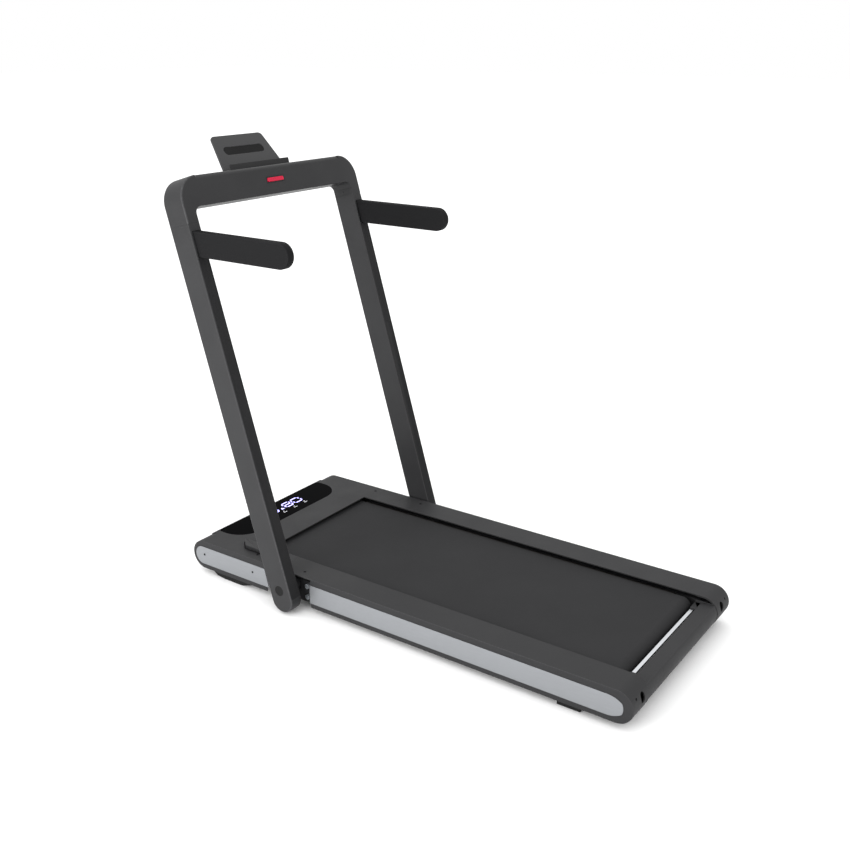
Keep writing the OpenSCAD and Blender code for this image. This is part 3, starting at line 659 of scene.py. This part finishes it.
class TREADMILL_OT_belt(BuildStep, bpy.types.Operator):
    """Walking belt with its embossed diamond"""
    bl_idname = "treadmill.belt"
    bl_label = "Walking belt"

    def execute(self, context):
        low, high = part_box("walking_belt")
        radius = (high.z - low.z) / 2
        middle = (high.z + low.z) / 2
        roller_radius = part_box("front_roller")[1].z - JOINTS["front_roller_spin"]["pos_m"][2]
        thickest = 2.0 * MM
        thickness = min(abs(radius - roller_radius), thickest)
        loop = stadium(low.y, high.y, middle, radius, 32)
        bm = bmesh.new()
        ring = [bm.verts.new((low.x, y, z)) for y, z in loop]
        edges = [bm.edges.new(pair) for pair in zip(ring, ring[1:] + ring[:1])]
        made = bmesh.ops.extrude_edge_only(bm, edges=edges)
        moved = [item for item in made["geom"] if isinstance(item, bmesh.types.BMVert)]
        bmesh.ops.translate(bm, verts=moved, vec=(high.x - low.x, 0, 0))
        bmesh.ops.recalc_face_normals(bm, faces=bm.faces)
        bmesh.ops.solidify(bm, geom=bm.faces[:], thickness=thickness)
        self.unroll(bm, low.y + radius, high.y - radius, middle, radius)
        piece(bm, "diamond_belt", finish_of("walking_belt"), "walking_belt", ["walking_belt"],
              keep_normals=True)
        return {"FINISHED"}

    def unroll(self, bm, rear, front, middle, radius):
        """Gives the belt a map in metres: across, and along its loop."""
        layer = bm.loops.layers.uv.new("belt")
        flat = front - rear
        turn = math.pi * radius

        def along(p):
            if p.y > front:
                return flat + radius * math.atan2(p.y - front, p.z - middle)
            if p.y < rear:
                return 2 * flat + turn + radius * math.atan2(rear - p.y, middle - p.z)
            return p.y - rear if p.z > middle else flat + turn + front - p.y

        whole = 2 * (flat + turn)
        for face in bm.faces:
            start_at = along(face.calc_center_median())
            for loop in face.loops:
                s = along(loop.vert.co)
                s += whole * round((start_at - s) / whole)
                loop[layer].uv = (loop.vert.co.x, s)


class TREADMILL_OT_display(BuildStep, bpy.types.Operator):
    """Gloss window with lit digits and small legends"""
    bl_idname = "treadmill.display"
    bl_label = "Display"

    SEGMENTS = {"0": "abcdef", "1": "bc", "8": "abcdefg"}
    READING = "1080"
    LIT_THICKNESS = 0.08 * MM
    PRINT_THICKNESS = 0.06 * MM
    DIGIT_GLOW = 2.2
    LEGEND_GLOW = 0.5

    def execute(self, context):
        low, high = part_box("display_lens")
        softened("display_lens", "display_window", finish_of("display_lens"), FINE_EDGE, 2)
        self.reading(low, high)
        self.legends(low, high.z)
        return {"FINISHED"}

    def reading(self, low, high):
        """Two digits on each side of a triangle."""
        height = sizes().digit_height
        up_the_window = 0.60
        base = low.y + up_the_window * (high.y - low.y) - height / 2
        pitch = 1.5 * height
        before = -0.27 * height
        after = 0.62 * height
        bm = bmesh.new()
        for index, symbol in enumerate(self.READING):
            left = (index - 2) * pitch + (after if index > 1 else before)
            self.digit(bm, symbol, left, base, height, high.z)
        half_width = 0.25 * height
        peak = base + 1.7 * half_width
        prism(bm, [(-half_width, base), (half_width, base), (0, peak)], upward,
              high.z, high.z + self.LIT_THICKNESS)
        glow = lit_print("lit_digits", colours().digits, self.DIGIT_GLOW)
        piece(bm, "display_digits", glow, "display_lens")

    def digit(self, bm, symbol, x, y, height, z):
        """Seven-segment digit with its lower left corner at (x, y)."""
        width = 1.15 * height
        half = height / 2
        bar = 0.16 * height
        gap = 0.6 * bar
        corner = 0.3 * bar
        spans = {"a": (0, height, width, height), "g": (0, half, width, half),
                 "d": (0, 0, width, 0), "f": (0, half, 0, height), "b": (width, half, width, height),
                 "e": (0, 0, 0, half), "c": (width, 0, width, half)}
        for name in self.SEGMENTS[symbol]:
            x0, y0, x1, y1 = spans[name]
            level = y0 == y1
            grow_x = -gap if level else bar / 2
            grow_y = bar / 2 if level else -gap
            outline = rounded_rect(x0 - grow_x, y0 - grow_y, x1 + grow_x, y1 + grow_y, corner, 2)
            prism(bm, [(x + u, y + v) for u, v in outline], upward, z, z + self.LIT_THICKNESS)

    def legends(self, low, z, count=5):
        """A row of printed legends under the digits, each a dot over a short bar."""
        pitch = 47 * MM
        shift = 12 * MM
        row = low.y + 28 * MM
        dot_radius = 2.2 * MM
        dot_rise = 7 * MM
        half_length = 7 * MM
        half_height = 0.9 * MM
        corner = 0.5 * MM
        top = z + self.PRINT_THICKNESS
        bm = bmesh.new()
        for index in range(count):
            x = (index - count // 2) * pitch - shift
            bmesh.ops.create_circle(bm, cap_ends=True, segments=16, radius=dot_radius,
                                    matrix=Matrix.Translation((x, row + dot_rise, top)))
            bar = rounded_rect(x - half_length, row - half_height, x + half_length,
                               row + half_height, corner)
            prism(bm, bar, upward, z, top)
        ink = lit_print("white_print", linear("E8E8EE"), self.LEGEND_GLOW)
        piece(bm, "display_legends", ink, "display_lens")


class TREADMILL_OT_handle_frame(BuildStep, bpy.types.Operator):
    """Uprights and crossbar with their long edges rounded"""
    bl_idname = "treadmill.handle_frame"
    bl_label = "Handle frame"

    def execute(self, context):
        low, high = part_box("upright_right")
        tube = frame["nodes"]["upright_right"].data
        depth = max((TO_UPRIGHT @ v.co).y for v in tube.vertices)
        inner = low.x + NEAR
        outer = high.x - NEAR
        for side in SIDES:
            self.upright(side, depth, inner, outer)
        self.crossbar(depth, inner)
        softened("pivot_caps", "pivot_cover_caps", finish("rubber_black"), BLUNT_EDGE)
        softened("corner_plates", "corner_cover_plates", finish_of("corner_plates"), SHEET_EDGE, 2)
        return {"FINISHED"}

    def upright(self, side, depth, inner, outer):
        """A leaning tube with a round foot, and a dark strip of painted shade down its rear face below the
        armrest.
        """
        node = "upright_" + side
        skin = 0.1 * MM
        bm = cad_copy(node)
        round_end = min((TO_UPRIGHT @ v.co).z for v in bm.verts) + depth

        def on_rim(p):
            local = TO_UPRIGHT @ p
            return math.hypot(local.y, min(0, local.z - round_end)) > depth - NEAR

        round_edges(bm, sizes().tube_edge, 5, where=lambda p: on_rim(p) and abs(p.x) > outer)
        round_edges(bm, sizes().inner_edge, where=lambda p: on_rim(p) and abs(p.x) < inner)
        strip_top = self.slot_lips(side, depth)
        bmesh.ops.bisect_plane(bm, geom=bm.verts[:] + bm.edges[:] + bm.faces[:],
                               plane_co=FRAME_TURN @ Vector((0, 0, strip_top)),
                               plane_no=FRAME_TURN.to_3x3() @ Vector((0, 0, 1)))
        # Painted shade: the rear faces below the armrest take the darker copy of the frame coat
        for face in bm.faces:
            local = TO_UPRIGHT @ face.calc_center_median()
            if local.y < -depth + skin and round_end < local.z < strip_top:
                face.material_index = 1
        made = piece(bm, node + "_tube", finish_of(node), node, [node])
        made.data.materials.append(finish("slot_lip"))

    def crossbar(self, depth, inner):
        """The bent bar. Its inner corners are as dark as the plates that they hold, and edges
        at the key, at the joints and where the flat top ends stay sharp."""
        bm = cad_copy("crossbar")
        key_low, key_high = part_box("key_socket")
        key_gap = 2 * MM
        joint_gap = 3 * MM
        step_gap = 0.3 * MM
        level = 0.01 * MM
        turned_in = 0.2
        joint = min((TO_UPRIGHT @ v.co).z for v in bm.verts)
        top = max((TO_UPRIGHT @ v.co).z for v in bm.verts)
        flat_end = max(abs(v.co.x) for v in bm.verts if (TO_UPRIGHT @ v.co).z > top - level)
        below = max((f for f in bm.faces if f.normal.z < -0.9), key=lambda f: f.calc_area())
        underside = (TO_UPRIGHT @ below.calc_center_median()).z

        def on_edge(p):
            local = TO_UPRIGHT @ p
            at_key = (abs(p.x) < key_high.x + key_gap and local.y < 0
                      and key_low.z - key_gap < p.z < key_high.z + key_gap)
            at_step = abs(abs(p.x) - flat_end) < step_gap
            at_joint = local.z <= joint + MM
            return abs(local.y) > depth - NEAR and not (at_key or at_step or at_joint)

        def on_inner_edge(p):
            return on_edge(p) and abs(p.x) < inner and (TO_UPRIGHT @ p).z < underside + MM

        def on_outer_edge(p):
            return on_edge(p) and not on_inner_edge(p)

        round_edges(bm, sizes().tube_edge, 5, where=on_outer_edge)
        # The bar's underside edges get no painted highlight
        round_edges(bm, sizes().inner_edge, angle=70, where=on_inner_edge, highlight_strength=0.0)
        for face in bm.faces:
            centre = TO_UPRIGHT @ face.calc_center_median()
            inward = face.normal.x * centre.x < -turned_in * abs(centre.x)
            if inward and abs(centre.y) < depth / 2 and joint + joint_gap < centre.z < underside:
                face.material_index = 1
        made = piece(bm, "crossbar_tube", finish_of("crossbar"), "crossbar", ["crossbar"])
        made.data.materials.append(finish_of("corner_plates"))

    def slot_lips(self, side, depth):
        """Two lips close the slot behind an armrest. Returns
        the height of their top along the upright."""
        sign = SIDES[side]
        arm_low, arm_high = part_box("armrest_" + side)
        pivot = Vector(JOINTS["arm_" + side + "_fold"]["pos_m"])
        hub = TO_UPRIGHT @ pivot
        half_height = (arm_high.z - arm_low.z) / 2
        reach = pivot.y - arm_low.y
        lip_thickness = 3 * MM
        lip_setback = 0.4 * MM
        centre_gap = 0.3 * MM
        wall_gap = 0.5 * MM
        end_gap = 6 * MM
        low = hub.z - reach - end_gap
        # height where the level armrest's underside leaves the slot
        run = (depth + hub.y + half_height * math.sin(LEAN)) / math.cos(LEAN)
        high = hub.z - half_height * math.cos(LEAN) - run * math.sin(LEAN) - MM
        middle = (arm_low.x + arm_high.x) / 2
        half_width = (arm_high.x - arm_low.x) / 2 + wall_gap
        for part, way in (("outer", sign), ("inner", -sign)):
            wall = middle + way * half_width
            edge = middle + way * centre_gap / 2
            x0 = min(wall, edge)
            x1 = max(wall, edge)
            bm = bmesh.new()
            prism(bm, [(x0, low), (x1, low), (x1, high), (x0, high)], across_y,
                  -depth + lip_setback, -depth + lip_thickness)
            round_edges(bm, CUT_EDGE, 2)
            bmesh.ops.transform(bm, matrix=FRAME_TURN, verts=bm.verts)
            # The lips take the same darker copy of the frame coat, painted shade
            lip = piece(bm, "slot_lip_" + side + "_" + part, finish("slot_lip"), "upright_" + side)
            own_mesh(lip)
        return high


class TREADMILL_OT_armrests(BuildStep, bpy.types.Operator):
    """Folding armrests with a soft skin"""
    bl_idname = "treadmill.armrests"
    bl_label = "Armrests"

    def execute(self, context):
        for side in SIDES:
            node = "armrest_" + side
            low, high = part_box(node)
            side_shape = stadium(low.y, high.y, (low.z + high.z) / 2, (high.z - low.z) / 2, 28)
            bm = bmesh.new()
            prism(bm, side_shape, across_x, low.x, high.x)
            round_edges(bm, sizes().arm_edge, 5)
            piece(bm, node + "_skin", finish_of(node), node, [node])
        return {"FINISHED"}


class TREADMILL_OT_tablet_holder(BuildStep, bpy.types.Operator):
    """Ledge and tilting plate for a tablet"""
    bl_idname = "treadmill.tablet_holder"
    bl_label = "Tablet holder"

    def execute(self, context):
        softened("holder_tray", "holder_ledge", finish_of("holder_tray"), BLUNT_EDGE)
        bm = cad_copy("holder_plate")
        front = max((f for f in bm.faces if f.normal.y < 0), key=lambda f: f.calc_area())
        out = front.normal.copy()
        face_at = front.calc_center_median().dot(out)
        deepest_pad = 3 * MM
        round_edges(bm, BLUNT_EDGE)
        for face in bm.faces:
            sunk = face_at - face.calc_center_median().dot(out)
            if face.normal.dot(out) > 0.99 and NEAR < sunk < deepest_pad:
                face.material_index = 1
        plate = piece(bm, "holder_back_plate", finish_of("holder_plate"), "holder_plate",
                      ["holder_plate"])
        plate.data.materials.append(finish("rubber_black"))
        return {"FINISHED"}


class TREADMILL_OT_safety_key(BuildStep, bpy.types.Operator):
    """Red safety key in its socket"""
    bl_idname = "treadmill.safety_key"
    bl_label = "Safety key"

    def execute(self, context):
        key_edge = 1.2 * MM
        softened("safety_key", "safety_key_body", finish_of("safety_key"), key_edge, 4)
        softened("key_socket", "key_socket_frame", finish_of("key_socket"), FINE_EDGE, 2)
        return {"FINISHED"}


class TREADMILL_OT_running_gear(BuildStep, bpy.types.Operator):
    """Feet, wheels, pedal, brackets and fasteners"""
    bl_idname = "treadmill.running_gear"
    bl_label = "Running gear"

    def execute(self, context):
        foot_edge = 1.5 * MM
        pedal_edge = 2.0 * MM
        for node in ("front_foot_left", "front_foot_right", "rear_feet"):
            softened(node, node + "_moulding", finish_of(node), foot_edge)
        softened("release_pedal", "release_pedal_pad", finish_of("release_pedal"), pedal_edge, 4)
        for node in ("pivot_bracket_left", "pivot_bracket_right", "pivot_bushes"):
            softened(node, node + "_part", finish_of(node), FINE_EDGE, 2)
        for node in ("bracket_bolts", "tension_bolts"):
            softened(node, node + "_heads", finish_of(node), CUT_EDGE, 2)
        self.wheels()
        self.screws()
        return {"FINISHED"}

    def wheels(self):
        """Tyre and hub turned as one, dished on both faces, with a groove round the tread."""
        bore = 3.1 * MM
        hub = 9 * MM
        rim = 14.6 * MM
        draft = 0.6 * MM
        dish = 2 * MM
        groove = 0.8 * MM
        for side in SIDES:
            node = "wheel_" + side
            low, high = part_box(node)
            centre = Vector(JOINTS[side + "_wheel_spin"]["pos_m"])
            centre.x = low.x
            width = high.x - low.x
            radius = (high.z - low.z) / 2
            near_half = [(bore, 0), (hub, 0), (hub + draft, dish), (rim - draft, dish), (rim, 0),
                         (radius - 1.5 * MM, 0), (radius - 0.4 * MM, 0.5 * MM),
                         (radius, 1.6 * MM), (radius, width / 2 - MM)]
            far_half = [(r, width - along) for r, along in reversed(near_half)]
            profile = near_half + [(radius - groove, width / 2)] + far_half + near_half[:1]
            bm = bmesh.new()
            lathe(bm, profile, centre, (1, 0, 0))
            piece(bm, node + "_tyre", finish_of(node), node, [node])

    def screws(self):
        """Button heads with a round socket, on the trims and the rails' tops. Those on the
        trims are wider than their CAD nodes."""
        trim_widening = 1.4
        sunk = 0.2 * MM
        bm = bmesh.new()
        for head in self.islands("cover_screws"):
            low = Vector([min(v[i] for v in head) for i in range(3)])
            high = Vector([max(v[i] for v in head) for i in range(3)])
            size = high - low
            axis = min(range(3), key=lambda i: size[i])
            out = Vector((0, 0, 0))
            out[axis] = 1.0 if (low + high)[axis] > 0 else -1.0
            rise = size[axis]
            radius = max(size) / 2 * (trim_widening if axis == 0 else 1.0)
            base = (low + high) / 2 - out * rise / 2
            socket = 0.5 * radius
            socket_floor = 0.1 * rise
            profile = [(0, -sunk), (radius, -sunk), (radius, 0.15 * rise),
                       (0.86 * radius, 0.7 * rise), (0.62 * radius, rise), (socket, rise),
                       (0.9 * socket, socket_floor), (0, socket_floor)]
            lathe(bm, profile, base, out)
        piece(bm, "button_head_screws", finish_of("cover_screws"), "cover_screws", ["cover_screws"])

    def islands(self, node):
        """Vertex places of each separate solid in a CAD node."""
        bm = cad_copy(node)
        left = set(bm.verts)
        found = []
        while left:
            edge_of_search = [left.pop()]
            island = list(edge_of_search)
            while edge_of_search:
                for edge in edge_of_search.pop().link_edges:
                    for vert in edge.verts:
                        if vert in left:
                            left.remove(vert)
                            island.append(vert)
                            edge_of_search.append(vert)
            found.append([v.co.copy() for v in island])
        bm.free()
        return found


class TREADMILL_OT_power_panel(BuildStep, bpy.types.Operator):
    """Mains inlet, rocker switch and circuit breaker in the front"""
    bl_idname = "treadmill.power_panel"
    bl_label = "Power panel"

    def execute(self, context):
        rocker_edge = 0.6 * MM
        softened("power_inlet", "power_panel_moulding", finish_of("power_inlet"), FINE_EDGE, 2)
        softened("rocker_switch", "rocker_switch_cap", finish_of("rocker_switch"), rocker_edge)
        softened("breaker_button", "breaker_button_cap", finish_of("breaker_button"), FINE_EDGE)
        return {"FINISHED"}


class TREADMILL_OT_inner_parts(BuildStep, bpy.types.Operator):
    """Finishes of every CAD part that still shows"""
    bl_idname = "treadmill.inner_parts"
    bl_label = "Inner parts"

    def execute(self, context):
        for node, part in frame["nodes"].items():
            if part.hide_render:
                continue
            part.data.materials.clear()
            part.data.materials.append(finish_of(node))
        return {"FINISHED"}


STEPS = (
    TREADMILL_OT_stage, TREADMILL_OT_covers, TREADMILL_OT_trims, TREADMILL_OT_belt,
    TREADMILL_OT_display, TREADMILL_OT_handle_frame, TREADMILL_OT_armrests,
    TREADMILL_OT_tablet_holder, TREADMILL_OT_safety_key, TREADMILL_OT_running_gear,
    TREADMILL_OT_power_panel, TREADMILL_OT_inner_parts,
)


class TREADMILL_PT_panel(bpy.types.Panel):
    """Lists the treadmill's settings and steps"""
    bl_idname = "TREADMILL_PT_panel"
    bl_label = "Treadmill"
    bl_space_type = "VIEW_3D"
    bl_region_type = "UI"
    bl_category = "Treadmill"

    def draw(self, context):
        for group in (context.scene.treadmill_sizes, context.scene.treadmill_colours):
            box = self.layout.box()
            for name in group.__annotations__:
                box.prop(group, name)
        for step in STEPS:
            self.layout.operator(step.bl_idname)


CLASSES = (TreadmillSizes, TreadmillColours, *STEPS, TREADMILL_PT_panel)


def register():
    for item in CLASSES:
        bpy.utils.register_class(item)
    bpy.types.Scene.treadmill_sizes = bpy.props.PointerProperty(type=TreadmillSizes)
    bpy.types.Scene.treadmill_colours = bpy.props.PointerProperty(type=TreadmillColours)


def unregister():
    del bpy.types.Scene.treadmill_colours
    del bpy.types.Scene.treadmill_sizes
    for item in reversed(CLASSES):
        bpy.utils.unregister_class(item)


def main():
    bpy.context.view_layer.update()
    register()
    for step in STEPS:
        group, name = step.bl_idname.split(".")
        getattr(getattr(bpy.ops, group), name)()
    bpy.context.view_layer.update()


if __name__ == "__main__":
    main()
